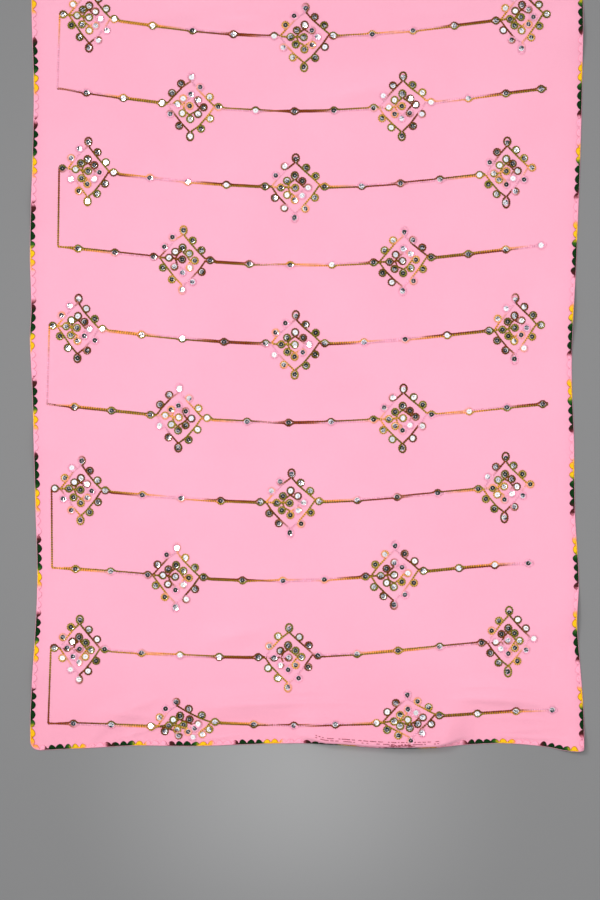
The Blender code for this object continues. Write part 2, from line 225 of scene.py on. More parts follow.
# How uneven the scallops are: in colour, in place as a share of the pitch, in size and in slant.
LACE_UNEVEN = 0.022
LACE_SHIFT = 0.05
LACE_SIZES = (0.72, 0.98)
LACE_SKEW = 0.22
LACE_SEED = 7

# The rows of embroidery. Each is a curve across the cloth: its place along is a sum of powers of
# the distance across, in units of ROW_UNIT. Columns: place along on the middle line, tilt, bow,
# twist, flare, centres of its motifs, across. A row of three motifs starts with one, and a row of
# two starts and ends with a stretch of vine.
ROW_UNIT = 410 * MM
ROWS = (
    (44.9, 12.6, 28.9, -0.1, -17.2, (-202.8, 166)),
    (156.4, 15.0, 38.5, -7.6, -16.5, (-374, -31, 330)),
    (281.9, 12.9, 46.3, -8.8, -22.2, (-216, 143)),
    (409.8, 9.2, 46.7, -5.7, -20.3, (-372, -28, 324)),
    (540.8, 4.6, 44.2, -2.9, -13.9, (-211, 157)),
    (669.4, 3.5, 47.0, -2.4, -15.8, (-377, -20, 341)),
    (799.4, 2.3, 45.1, 0.1, -12.2, (-205, 157)),
    (926.8, 1.3, 47.6, 0.5, -13.4, (-360, -20, 327)),
    (1052.2, 5.0, 50.2, -4.1, -11.7, (-192, 156)),
    (1174.1, 1.9, 58.1, -2.3, -20.4, (-358, -5, 352)),
    (1299.0, 2.0, 50.0, -2.0, -14.0, (-196, 160)),
    (1424.0, 0.5, 46.0, 1.5, -14.0, (-364, -14, 338)),
    (1549.0, -1.5, 41.0, 2.0, -12.0, (-203, 155)),
    (1673.0, -3.0, 36.0, 2.5, -12.0, (-369, -22, 330)),
    (1797.0, -4.0, 31.0, 1.5, -10.0, (-208, 150)),
    (1920.0, -3.0, 25.0, 1.0, -8.0, (-366, -18, 335)),
    (2042.0, -2.0, 19.0, 0.0, -6.0, (-200, 158)),
    (2160.0, 0.0, 12.0, 0.0, -4.0, (-362, -12, 342)),
)
# How the two runs of thread of each row are dyed. One run goes in to the middle of every motif,
# and the other one doesn't. Columns: 1 if the colours of the run with the middles go from left to
# right, or else -1, and those of the other run go against them; where that run is in its cycle of
# colours at each motif's left corner, and in a row of two also at the first and the last disc of
# its vine; the same for the other run.
DYES = (
    (-1, (0.96, 0.21, 0.26, 0.83), (0.06, 0.53, 0.32, 0.73)),
    (-1, (0.77, 0.78, 0.76), (0.51, 0.21, 0.99)),
    (1, (0.50, 0.34, 0.37, 0.77), (0.55, 0.15, 0.43, 0.85)),
    (1, (0.50, 0.61, 0.72), (0.95, 0.27, 0.55)),
    (1, (0.09, 0.72, 0.66, 0.04), (0.63, 0.24, 0.64, 0.29)),
    (1, (0.59, 0.57, 0.52), (0.54, 0.88, 0.29)),
    (1, (0.48, 0.27, 0.31, 0.76), (0.42, 0.99, 0.31, 0.83)),
    (1, (0.57, 0.66, 0.74), (0.90, 0.23, 0.53)),
    (1, (0.04, 0.80, 0.76, 0.17), (0.88, 0.28, 0.68, 0.29)),
    (1, (0.53, 0.50, 0.50), (0.48, 0.82, 0.18)),
    (1, (0.53, 0.25, 0.31, 0.76), (0.42, 0.02, 0.40, 0.01)),
    (1, (0.62, 0.60, 0.55), (0.60, 0.91, 0.20)),
    (1, (0.09, 0.80, 0.86, 0.30), (0.70, 0.30, 0.66, 0.26)),
    (1, (0.44, 0.48, 0.50), (0.92, 0.23, 0.50)),
    (1, (0.42, 0.12, 0.16, 0.59), (0.14, 0.74, 0.10, 0.70)),
    (1, (0.70, 0.68, 0.64), (0.22, 0.55, 0.84)),
    (1, (0.66, 0.36, 0.40, 0.83), (0.96, 0.56, 0.92, 0.52)),
    (1, (0.58, 0.63, 0.66), (0.10, 0.41, 0.70)),
)
# The line of stitches that joins the left end of a row of two motifs to the row past it. Rows'
# number: place across of its near end, where it is in its cycle of colours at its far end and at
# its near end.
LINKS = {
    0: (-425.0, 0.47, 0.07),
    2: (-418.7, 0.06, 0.50),
    4: (-427.0, 0.60, 0.92),
    6: (-408.9, 0.06, 0.46),
    8: (-410.0, 0.60, 0.90),
    10: (-416.0, 0.30, 0.70),
    12: (-409.0, 0.70, 1.08),
    14: (-420.0, 0.10, 0.50),
    16: (-412.0, 0.55, 0.93),
}
# Where the vine's discs stand between two motifs, as shares of the way between their end discs.
VINE_SHARES = (0.24, 0.49, 0.745)
# Where they stand before the first and after the last motif of a row of two, from its end discs,
# and by how much some rows stretch that.
VINE_BEFORE = (-124, -63.5)
VINE_AFTER = (61.4, 123, 181)
VINE_STRETCH = {0: 1.025, 2: 0.955, 4: 1.008}
# How the row at the near end waves: place across, shift along.
NEAR_WAVES = (
    (-425, 3.6), (-386, 1.3), (-322, -1.5), (-250, -3.4), (-205, -0.6), (-155, 3.4), (-85, 1.8),
    (-19, -1.2), (47, -1.5), (112, -3.6), (160, -1.4), (190, 0.2), (217, 0.4), (279, -0.2),
    (340, 0.0), (420, 0.0),
)
# Motifs that the near end squeezes and skews. Rows' number and motif's: share of the height that
# its upper and its lower half keep, how much less the lower one keeps for each millimetre down, its
# width's share, and its slant.
SQUEEZED = {(0, 0): (0.80, 0.60, 0.0034, 1.14, -0.33), (0, 1): (0.86, 0.70, 0.0, 1.10, -0.09)}
EVEN = (1.0, 1.0, 0.0, 1.0, 0.0)
# Motifs are narrower at the sides: their width's share in the middle, what it loses, and how far
# out it has lost that.
MOTIF_WIDE = 1.03
MOTIF_NARROWS = 0.15
MOTIF_OUT = 365 * MM
# Stitching guided by hand is never quite on the pattern: how far a disc or a corner is from it at
# the most, and the factors that make each one's shift its own.
HAND_SHIFT = 0.7
HAND_SEEDS = (12.9898, 78.233, 37.719, 4.581)
HAND_TURNS = (43.7, 61.3)
# The motif: places of its discs and of the corners of its two lines of thread, from its centre. The
# ring at a tip is between the line's corner and the disc, and at least as tall as LOOP says.
END_DISCS = ((-47.3, 0.0), (47.1, 1.6))
TIP_DISCS = ((2.2, 46.8), (-0.5, -50.1))
LOOP = 7.0
LOOP_SHARE = 0.4
OUTER_CORNERS = ((-37.8, 0.0), (1.6, 41.5), (40.1, 3.3), (0.0, -42.7))
# Discs on the four sides: left and right of the upper tip, and left and right of the lower one.
SIDE_DISCS = (
    ((-30.2, 18.4), (-15.6, 34.5)),
    ((17.4, 32.8), (32.8, 18.1)),
    ((-32.5, -17.2), (-17.4, -34.5)),
    ((17.4, -35.1), (32.5, -17.2)),
)
INNER_CORNERS = ((-11.5, 0.0), (0.0, 13.3), (13.8, -1.5), (0.0, -14.0))
# Discs round the middle: first the one on the left, then clockwise.
INNER_DISCS = (
    (-21.8, 0.0), (-12.0, 11.3), (0.5, 19.5), (12.5, 11.0), (21.8, -0.7), (12.5, -12.6),
    (0.0, -21.3), (-12.5, -12.6),
)

# Chain stitches, along a line and round a disc. The vine turns into the arc past a disc at
# RING_MEETS from its middle, and the arc leaves RING_OPEN degrees of a half ring at each end.
STITCH = 3.9 * MM
RING_STITCH = 3.1 * MM
RING_RADIUS = 5.6 * MM
RING_HEIGHT = 0.35 * MM
RING_MEETS = 1.6 * RING_RADIUS
RING_OPEN = 16
ARC_STEP = 15
# The ring round the upper disc of a motif's middle is this much taller, to reach its corner.
UPPER_DISC = 2
RING_TALL = 1.12
# How much of each colour the thread loses on a ring, as painted shade where the disc shadows it,
# how much blue makes it too pale for that, and the most of its loops' shade that pale thread is
# spared.
RING_SHADE = (0.34, 0.0, 0.20)
PALE = 0.25
PALE_MOST = 0.9
# How far the vine's two runs are from its middle line.
RUN_APART = 1.15 * MM
# How stitches vary: width, height and brightness, each as shares.
STITCH_WIDTHS = (0.9, 1.08)
STITCH_HEIGHTS = (0.9, 1.15)
STITCH_SHADES = (0.86, 1.1)
# One strand of a stitch. Columns: share of the stitch's length, distance out from the middle,
# height, half its width, half its thickness, how light it is: a stitch starts in the shade of the
# loop before it.
STRAND = (
    (-0.18, 0.30, 0.20, 0.0, 0.0, 0.12),
    (0.20, 0.72, 0.42, 0.94, 0.40, 0.38),
    (0.76, 0.78, 0.46, 1.00, 0.42, 1.80),
    (1.10, 0.18, 0.25, 0.0, 0.0, 0.90),
)
# The seam that shows above the near hem's roll, and the lump of thread where it ends, in a dark pink
# that is partly painted shade of the rolled hem's fold and of the lace rolled under it. Columns of
# its rows: distance in from the cut edge, ends across, share of the dashes that shows. Then a
# dash's length, its width beside a chain stitch's, and its colour.
SEAM_ROWS = (
    (17.0, 14, 222, 0.6),
    (20.6, 14, 222, 0.6),
    (13.4, 138, 176, 0.7),
    (14.6, 134, 180, 0.8),
    (15.8, 138, 172, 0.7),
)
SEAM_DASH = 2.7
SEAM_SLIM = 0.42
SEAM_AND_SHADE_COLOUR = (0.50, 0.13, 0.18)
# The length of thread in which its colours come round, and the colours by share of that.
THREAD_CYCLE = 345 * MM
THREAD_COLOURS = (
    (0.00, (0.260, 0.044, 0.004)),
    (0.10, (0.250, 0.047, 0.002)),
    (0.22, (0.255, 0.092, 0.004)),
    (0.34, (0.300, 0.175, 0.012)),
    (0.45, (0.470, 0.240, 0.024)),
    (0.54, (0.700, 0.300, 0.036)),
    (0.62, (0.980, 0.410, 0.110)),
    (0.68, (1.000, 0.460, 0.330)),
    (0.74, (0.990, 0.475, 0.625)),
    (0.90, (0.990, 0.475, 0.625)),
    (0.95, (0.520, 0.170, 0.100)),
    (1.00, (0.260, 0.044, 0.004)),
)

# Sequins. Columns of the profile: radius, height.
DISC_PROFILE = ((0.56, -0.02), (0.86, 0.20), (3.75, 0.24), (4.5, 0.31))
DISC_STEPS = 18
# How the discs lie. Columns: share of them, least tilt, greatest tilt.
DISC_TILTS = ((0.38, 0.0, 2.4), (0.36, 3.0, 5.4), (0.26, 6.2, 10.0))
# How much of the cloth's own slope the discs follow, as they hang on their stitches, and how much
# of the height that its tilt needs a disc keeps.
DISC_FOLLOWS = 0.35
DISC_KEEPS = 0.9
DISC_SIZES = (0.95, 1.04)
# Silver, from cool to warm. Columns of its shades: share of the discs, brightness.
SILVER = ((0.93, 0.94, 1.0), (1.0, 0.99, 0.97))
SILVER_SHADES = ((0.6, 0.97), (0.25, 0.9), (0.15, 0.75))

# The embroidery's pieces, the rows that each has, and the seed of its unevenness.
EMBROIDERY = ("embroidery_near", "embroidery_middle", "embroidery_far")
ROWS_EACH = 6
SEED = 41
# How far left of a motif's end disc its link to the row before starts.
LINK_START = 5.4 * MM


def eased(share):
    """A smooth step: 0 up to 0, 1 from 1 on."""
    return (1 - np.cos(np.pi * np.clip(share, 0, 1))) / 2


def through(table, at):
    """The values at places along a smooth curve through a table's rows of place and value."""
    place, value = np.array(table, float).T * MM
    slope = np.gradient(value, place)
    i = np.clip(np.searchsorted(place, at) - 1, 0, len(place) - 2)
    step = place[i + 1] - place[i]
    share = np.clip((at - place[i]) / step, 0, 1)
    start = value[i] * (1 + 2 * share) + step * slope[i] * share
    end = value[i + 1] * (3 - 2 * share) - step * slope[i + 1] * (1 - share)
    return start * (1 - share) ** 2 + end * share**2


def side_x(side, y):
    """Where the left side, -1, or the right one, 1, is at y."""
    return side * (WIDTH / 2 - through(LEFT_SIDE if side < 0 else RIGHT_SIDE, y + LENGTH / 2))


def side_y(side, x):
    """Where the near end of the laid cloth, -1, or its far one, 1, is at x."""
    return side * (LENGTH / 2 - through(NEAR_SIDE if side < 0 else FAR_SIDE, x))


def roll_angle(x):
    """How steeply the near hem's roll stands up at x."""
    return ROLL_ANGLE * eased((x - ROLL_FROM) / ROLL_EASE) * eased((ROLL_TO - x) / ROLL_EASE)


def cut_y(side, x):
    """Where the cut end is at x while the cloth is flat, before the roll draws it in."""
    drawn_in = ROLL_HEIGHT * (1 - np.cos(roll_angle(x))) if side < 0 else 0
    return side_y(side, x) - drawn_in


def rolled(x, inward):
    """Where the cloth at a distance in from the near hem lies: how far in from it, and how high."""
    angle = roll_angle(x)
    soft = ROLL_RADIUS * np.tan(angle / 2)
    straight = np.minimum(inward, ROLL_HEIGHT - soft)
    across = straight * np.cos(angle)
    height = straight * np.sin(angle)
    share = np.clip((inward - straight) / np.maximum(2 * soft, 1e-9), 0, 1)
    left = np.where(inward > straight, angle * (1 - share), angle)
    across = across + ROLL_RADIUS * (np.sin(angle) - np.sin(left))
    height = height + ROLL_RADIUS * (np.cos(left) - np.cos(angle))
    beyond = np.maximum(inward - ROLL_HEIGHT - soft, 0)
    return across + beyond, height * (1 - eased(beyond / ROLL_RUN))


def lift(x, y):
    """How far the folds and creases lift the cloth."""
    total = np.zeros_like(x)
    for centre, along, half_length, half_width, height, turn, sag in FOLDS + CREASES:
        cos, sin = math.cos(math.radians(turn)), math.sin(math.radians(turn))
        reach = (half_length + half_width + abs(sag)) * MM
        dx = x - centre * MM
        dy = y + LENGTH / 2 - along * MM
        near = (np.abs(dx) < reach) & (np.abs(dy) < reach)
        dx, dy = dx[near], dy[near]
        lengthways = (dx * cos + dy * sin) / (half_length * MM)
        bent = sag * MM * (1 - lengthways * lengthways)
        sideways = (dy * cos - dx * sin + bent) / (half_width * MM)
        total[near] += height * MM * eased(1 - np.abs(lengthways)) * eased(1 - np.abs(sideways))
    return np.maximum(total, 0)


def laid(x, y):
    """Where the underside of the flat cloth's points lies, as an array of x, y, z."""
    across, height = rolled(x, y - cut_y(-1, x))
    return np.stack([x, side_y(-1, x) + across, height + lift(x, y)], axis=-1)


def unit(vectors):
    """The directions of vectors, each of length 1."""
    return vectors / np.linalg.norm(vectors, axis=-1, keepdims=True)


def surface(x, y):
    """The cloth's underside and the direction out of it, at each flat point."""
    along_x = laid(x + SLOPE_REACH, y) - laid(x - SLOPE_REACH, y)
    along_y = laid(x, y + SLOPE_REACH) - laid(x, y - SLOPE_REACH)
    return laid(x, y), unit(np.cross(along_x, along_y))


def graded(stops, share, column=1):
    """The colours at shares of the way through a table of share and colours."""
    places = [stop[0] for stop in stops]
    levels = zip(*(stop[column] for stop in stops))
    return np.stack([np.interp(share, places, level) for level in levels], axis=-1)


def hem_and_painted_shade(x, y):
    """How the colour deepens near the edges, at flat points: painted shade, and at the sides partly
    the doubled hem's deeper colour.
    """
    end = np.minimum(y - cut_y(-1, x), cut_y(1, x) - y)
    side = np.minimum(x - side_x(-1, y), side_x(1, y) - x)
    return graded(END_PAINTED_SHADE, end / MM) * graded(SIDE_HEM_AND_SHADE, side / MM)


class Outline:
    """The flat cloth's cut edge, anticlockwise from the near left corner."""

    STEP = 1.5 * MM

    def __init__(self):
        points, rounds = [], []
        for i, (across, along, radius) in enumerate(CORNERS):
            turns = max(4, round(radius * MM * math.pi / 2 / self.STEP))
            first = sum(len(p) for p in points)
            rounds.append((first, first + turns))
            start = math.atan2(along, across) - math.pi / 4
            angle = start + math.pi / 2 * np.arange(turns + 1) / turns
            bend = radius * MM * np.stack([np.cos(angle), np.sin(angle)], axis=-1)
            points += [self.corner_centre(i) + bend, self.side_after(i)]
        points = np.concatenate(points)
        self.points = np.vstack([points, points[:1]])
        steps = np.linalg.norm(np.diff(self.points, axis=0), axis=1)
        self.along = np.concatenate([[0], np.cumsum(steps)])
        self.length = float(self.along[-1])
        # Where each corner's round starts and ends along the edge.
        self.rounds = self.along[np.array(rounds)]

    @staticmethod
    def corner_centre(i):
        """The middle of a corner's round. Its x and y depend on each other, and settle."""
        across, along, radius = CORNERS[i % len(CORNERS)]
        x = across * (WIDTH / 2 - radius * MM)
        for _ in range(3):
            y = float(cut_y(along, np.array(x))) - along * radius * MM
            x = float(side_x(across, np.array(y))) - across * radius * MM
        return np.array([x, y])

    def side_after(self, i):
        """The points of the side between a corner's round and the next."""
        start, end = self.corner_centre(i), self.corner_centre(i + 1)
        axis = 0 if abs(end[0] - start[0]) > abs(end[1] - start[1]) else 1
        steps = round(abs(end[axis] - start[axis]) / self.STEP)
        places = start[axis] + (end[axis] - start[axis]) * np.arange(1, steps) / steps
        across, along, _ = CORNERS[i]
        if axis == 0:
            return np.stack([places, cut_y(along, places)], axis=-1)
        return np.stack([side_x(across, places), places], axis=-1)

    def at(self, along, inward):
        """The flat cloth's points at distances along the edge and in from it."""
        def here(reach):
            place = (along + reach) % self.length
            parts = [np.interp(place, self.along, part) for part in self.points.T]
            return np.stack(parts, axis=-1)

        travel = unit(here(self.STEP) - here(-self.STEP))
        return here(0) + np.stack([-travel[..., 1], travel[..., 0]], axis=-1) * inward[..., None]


# ---------------- making meshes

def put(name, data):
    """A new object of the scene."""
    obj = bpy.data.objects.new(name, data)
    bpy.context.scene.collection.objects.link(obj)
    return obj


def new_piece(name, points, faces, material, colours, smooth=True):
    """A mesh of points, each with its colour, and of faces."""
    mesh = bpy.data.meshes.new(name)
    mesh.from_pydata(points.tolist(), [], faces.tolist(), shade_flat=not smooth)
    tints = mesh.color_attributes.new("tint", "FLOAT_COLOR", "POINT")
    opaque = np.ones((len(points), 1))
    tints.data.foreach_set("color", np.hstack([colours, opaque]).astype(np.float32).ravel())
    mesh.validate()
    mesh.materials.append(material)
    obj = put(name, mesh)
    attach(obj, "root")
    return obj


def grid_faces(rows, columns, closed=False, back=False):
    """Quads of a grid of points, row by row.

    A closed grid joins its last column to its first, and one with a back its last row to its first.
    """
    row = np.arange(rows if back else rows - 1)
    column = np.arange(columns if closed else columns - 1)
    i, j = np.meshgrid(row, column, indexing="ij")
    here, above, after = i * columns, (i + 1) % rows * columns, (j + 1) % columns
    return np.stack([here + j, here + after, above + after, above + j], axis=-1).reshape(-1, 4)


def repeated(faces, count, points_each):
    """The faces of one shape, for as many copies of it."""
    return (faces[None] + np.arange(count)[:, None, None] * points_each).reshape(-1, faces.shape[1])


# ---------------- materials

def fill(tree, node, *first, **named):
    """Gives inputs of a node, in order or by name, a value or the output that feeds them.

    Inputs are named in lower case with underscores. What isn't an input is a property.
    """
    inputs = {socket.name.lower().replace(" ", "_"): socket for socket in list(node.inputs)[::-1]}
    pairs = list(zip(node.inputs, first))
    for name, value in named.items():
        if name in inputs:
            pairs.append((inputs[name], value))
        else:
            setattr(node, name, value)
    for socket, value in pairs:
        if isinstance(value, bpy.types.NodeSocket):
            tree.links.new(value, socket)
        else:
            socket.default_value = value


def add(tree, kind, *first, output=0, **named):
    """The output of a new node with its inputs filled."""
    node = tree.nodes.new("ShaderNode" + kind)
    fill(tree, node, *first, **named)
    return node.outputs[output]


def noise(tree, coords, scale, detail, roughness=0.55):
    return add(tree, "TexNoise", coords, output="Fac", scale=scale, detail=detail, roughness=roughness)


def ramp(tree, share, stops):
    """A ramp through rows of place and colour."""
    colour = add(tree, "ValToRGB", share)
    elements = colour.node.color_ramp.elements
    for element, (place, rgb) in ((elements[0], stops[0]), (elements[1], stops[-1])):
        element.position, element.color = place, (*rgb, 1)
    for place, rgb in stops[1:-1]:
        elements.new(place).color = (*rgb, 1)
    return colour


def new_material(name, **inputs):
    """A material, its node tree, its shader with these inputs, and the coordinates of its noises."""
    material = bpy.data.materials.new(name)
    material.use_nodes = True
    tree = material.node_tree
    shader = tree.nodes["Principled BSDF"]
    fill(tree, shader, **inputs)
    return material, tree, shader, add(tree, "TexCoord", output="Object")


def georgette():
    """Crepe georgette: a crossed weave of fine, uneven yarn with a soft sheen."""
    material, tree, shader, coords = new_material(
        "georgette_pink",
        roughness=0.78,
        sheen_weight=0.25,
        sheen_roughness=0.45,
        specular_ior_level=0.25,
    )
    slubs = noise(tree, coords, 260.0, 3.0, 0.7)
    blotches = add(tree, "Math", noise(tree, coords, 5.0, 4.0), 0.65, operation="MULTIPLY")
    share = add(tree, "Math", slubs, 0.35, blotches, operation="MULTIPLY_ADD")
    colour = ramp(tree, share, ((0.30, (0.950, 0.405, 0.540)), (0.72, (0.990, 0.450, 0.588))))
    # The points' tint deepens the dye near the edges: painted shade, and at the sides partly the
    # doubled hem's colour.
    tint = add(tree, "Attribute", output="Color", attribute_name="tint")
    dyed_and_shaded = add(tree, "VectorMath", colour, tint, operation="MULTIPLY")
    yarns = []
    for turn in (0.0, math.pi / 2):
        turned = add(tree, "Mapping", coords, rotation=(0, 0, turn))
        waves = add(tree, "TexWave", turned, output="Fac", scale=420.0, distortion=2.5, detail=1.0)
        yarns.append(waves)
    crossed = add(tree, "Math", *yarns, operation="MULTIPLY")
    weave = add(tree, "Math", crossed, slubs, operation="ADD")
    fine = add(tree, "Bump", height=weave, strength=0.35, distance=0.0004)
    hollows = noise(tree, coords, 22.0, 2.0)
    soft = add(tree, "Bump", height=hollows, normal=fine, strength=0.5, distance=0.0015)
    fill(tree, shader, base_color=dyed_and_shaded, normal=soft)
    return material


def vary(tree, shader, fibres, shades, gloss, relief, strength, distance):
    """Takes the points' tint as the colour. One noise varies it and the gloss, one the relief."""
    tint = add(tree, "Attribute", output="Color", attribute_name="tint")
    shade = add(tree, "MapRange", fibres, to_min=shades[0], to_max=shades[1])
    fill(
        tree,
        shader,
        base_color=add(tree, "VectorMath", tint, scale=shade, operation="SCALE"),
        roughness=add(tree, "MapRange", fibres, to_min=gloss[0], to_max=gloss[1]),
        normal=add(tree, "Bump", height=relief, strength=strength, distance=distance),
    )


def thread(name, twist, roughness, sheen, specular):
    """Spun thread with fine twisted fibres."""
    material, tree, shader, coords = new_material(
        name, sheen_weight=sheen, sheen_roughness=0.4, specular_ior_level=specular
    )
    fibres = noise(tree, coords, twist, 2.0, 0.7)
    gloss = (roughness - 0.1, roughness + 0.1)
    vary(tree, shader, fibres, (0.9, 1.3), gloss, fibres, strength=0.6, distance=0.0003)
    return material


def mirror():
    """Silver sequins, scuffed and dented here and there."""
    material, tree, shader, coords = new_material("sequin_silver", metallic=1.0)
    scuffs = noise(tree, coords, 420.0, 3.0, 0.6)
    dents = noise(tree, coords, 330.0, 1.0)
    vary(tree, shader, scuffs, (0.85, 1.05), (0.04, 0.10), dents, strength=0.42, distance=0.0006)
    return material


# ---------------- the cloth

def cloth_grid():
    """The flat cloth's points, row by row, as x and y, with its corners rounded as cut."""
    inward = [0.0]
    for upto, step in CLOTH_ROWS:
        count = round((upto - inward[-1]) / step)
        inward += list(inward[-1] + (upto - inward[-1]) * np.arange(1, count + 1) / count)
    share_along = np.array(inward)[:, None] * MM / LENGTH
    share_across = np.linspace(0, 1, CLOTH_COLUMNS + 1)[None]
    y = (share_along - 0.5) * LENGTH
    # Across and along depend on each other, and settle in these rounds.
    for _ in range(4):
        left, right = side_x(-1, y), side_x(1, y)
        x = left + (right - left) * share_across
        near, far = cut_y(-1, x), cut_y(1, x)
        y = near + (far - near) * share_along
    for across, along, radius in CORNERS:
        reach = radius * MM
        dx = across * (x - side_x(across, y)) + reach
        dy = along * (y - cut_y(along, x)) + reach
        inside = (dx > 0) & (dy > 0)
        scale = np.where(inside, np.maximum(dx, dy) / np.maximum(np.hypot(dx, dy), 1e-9), 1)
        x = x + across * dx * (scale - 1)
        y = y + along * dy * (scale - 1)
    return x, y


def make_cloth(material):
    """A thin closed shell in the laid form."""
    x, y = cloth_grid()
    rows, columns = x.shape
    under, out = surface(x.ravel(), y.ravel())
    points = np.concatenate([under + out * CLOTH, under])
    # The tint is painted shade towards the edges, and at the sides partly the doubled hem's deeper
    # colour.
    tint = hem_and_painted_shade(x.ravel(), y.ravel())
    top = grid_faces(rows, columns)
    count = rows * columns
    index = np.arange(count).reshape(rows, columns)
    ring = np.concatenate([index[0, :-1], index[:-1, -1], index[-1, :0:-1], index[:0:-1, 0]])
    after = np.roll(ring, -1)
    wall = np.stack([after, ring, ring + count, after + count], axis=-1)
    faces = np.concatenate([top, top[:, ::-1] + count, wall])
    cloth = new_piece("georgette_panel", points, faces, material, np.concatenate([tint, tint]))
    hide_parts("cloth_panel")
    return cloth


# ---------------- the lace

def lace_share(node, flat):
    """How far each flat point is from one green stretch's start to the next, from 0 to 1."""
    starts = np.array(GREENS[node], float) * MM
    place = flat[:, 0] if node in ("lace_near", "lace_far") else flat[:, 1] + LENGTH / 2
    i = np.clip(np.searchsorted(starts, place) - 1, 0, len(starts) - 2)
    share = (place - starts[i]) / (starts[i + 1] - starts[i])
    # On the far end and the left side the cycle runs towards the smaller places.
    onwards = node in ("lace_near", "lace_right")
    return np.clip(share if onwards else 1 - share, 0, 1)


def scallop(step):
    """One scallop as rings of points: their places along and in, their heights, and its faces."""
    angle = 2 * np.pi * np.arange(LACE_STEPS) / LACE_STEPS
    outer = np.sin(angle) >= 0
    pointed = np.where(outer, LACE_POINTED, 1.0)
    across = LACE_HALF * step * np.sign(np.cos(angle)) * np.abs(np.cos(angle)) ** pointed
    reach = np.where(outer, LACE_WIDTH - LACE_HEADING, LACE_INSET - LACE_HEADING)
    edge = np.stack([across, LACE_HEADING + reach * np.abs(np.sin(angle)) ** pointed], axis=-1)
    middle = np.array([0.0, LACE_MIDDLE])
    share, height, ribbed, _ = np.array(LACE_PROFILE).T[..., None]
    rings = middle + (edge - middle) * share[..., None]
    heights = height * MM + ribbed * LACE_RIB * (-1) ** np.arange(LACE_STEPS)
    faces = grid_faces(len(rings), LACE_STEPS, closed=True, back=True)
    return rings.reshape(-1, 2), heights.ravel(), faces


def scallops(start, step, count, rng):
    """A lace's scallops: for each point its place along and in, its height, whether it is on a rim
    and its unevenness in colour; then the faces."""
    local, height, faces = scallop(step)
    centres = start + (np.arange(count) + 0.5) * step
    centres += rng.uniform(-LACE_SHIFT, LACE_SHIFT, count) * step
    size = rng.uniform(*LACE_SIZES, (2, count, 1))
    skew = rng.uniform(-LACE_SKEW, LACE_SKEW, (count, 1))
    past = np.maximum(local[:, 1] - LACE_HEADING, 0)
    along = centres[:, None] + local[:, 0] * (2 * LACE_SHIFT + size[0]) + past * skew
    inward = np.minimum(local[:, 1], LACE_HEADING) + past * size[1]
    rim = np.repeat([row[3] > 0 for row in LACE_PROFILE], LACE_STEPS)
    uneven = np.repeat(rng.normal(0, LACE_UNEVEN, count), len(local))
    faces = repeated(faces, count, len(local))
    return along.ravel(), inward.ravel(), np.tile(height, count), np.tile(rim, count), uneven, faces


def heading(start, end, cells):
    """The ribbed band along the lace's edge, in the same form."""
    profile = np.array(HEADING_PROFILE) * MM
    wide = len(profile)
    along = np.repeat(start + (end - start) * np.arange(cells + 1) / cells, wide)
    inward = np.tile(profile[:, 0], cells + 1)
    rib = np.where(np.arange(cells + 1) % 2 == 0, 1.0, HEADING_DIP)
    height = profile[:, 1] * rib[:, None]
    top = grid_faces(cells + 1, wide)[:, ::-1]
    here = np.arange(cells) * wide
    under = np.stack([here, here + wide, here + 2 * wide - 1, here + wide - 1], axis=-1)
    first_end = np.arange(wide)
    ends = np.array([first_end, first_end[::-1] + cells * wide])
    none = np.zeros(along.size)
    return along, inward, height.ravel(), none > 0, none, np.concatenate([top, under, ends])


def make_lace(outline, material, name, node, first, last, goes_round, pitch):
    """One length of lace, from the end of one corner's round to another corner."""
    start = outline.rounds[first, 1] + SEAM_GAP / 2
    if goes_round:
        end = outline.rounds[last, 1] - SEAM_GAP / 2
    else:
        end = outline.rounds[last, 0] - (LACE_WIDTH - CORNERS[last][2] * MM) - SEAM_GAP
    if end < start:
        end += outline.length
    count = 2 * round((end - start) / (pitch * MM) / 2)
    rng = np.random.default_rng(len(name) * LACE_SEED + first)
    *shown, faces = scallops(start, (end - start) / count, count, rng)
    *band, band_faces = heading(start, end, count * HEADING_CELLS)
    faces = np.concatenate([faces, band_faces + len(shown[0])])
    along, inward, height, rim, uneven = (np.concatenate(pair) for pair in zip(shown, band))
    flat = outline.at(along, inward)
    under, out = surface(flat[:, 0], flat[:, 1])
    points = under + out * (CLOTH + CLEAR + height)[:, None]
    share = (lace_share(node, flat) + uneven).clip(0, 1)
    # A rim's colour is partly painted shade at the scallop's falling edge.
    colours = np.where(rim[:, None], graded(LACE_COLOURS, share, 2), graded(LACE_COLOURS, share))
    # Near the edges the lace takes the same painted shade as the cloth.
    lace = new_piece(name, points, faces, material, colours * hem_and_painted_shade(flat[:, 0], flat[:, 1]))
    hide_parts(node)
    return lace


# ---------------- the embroidery

def row_along(row, x):
    """Where a row's curve lies at x, as y."""
    along, tilt, bow, twist, flare, _ = ROWS[row]
    t = x / ROW_UNIT
    wave = through(NEAR_WAVES, x) if row == 0 else 0
    return (along + tilt * t + bow * t**2 + twist * t**3 + flare * t**4) * MM - LENGTH / 2 + wave


def on_row(row, x, aside=0.0):
    """The point of a row's curve at x, or one this far to its far side."""
    return np.array([x, row_along(row, x) + aside])


def height_kept(row, number, up):
    """The share of a spot's height above a motif's centre that the laid cloth leaves."""
    upper, lower, fall, _, _ = SQUEEZED.get((row, number), EVEN)
    return upper if up > 0 else lower + fall * up


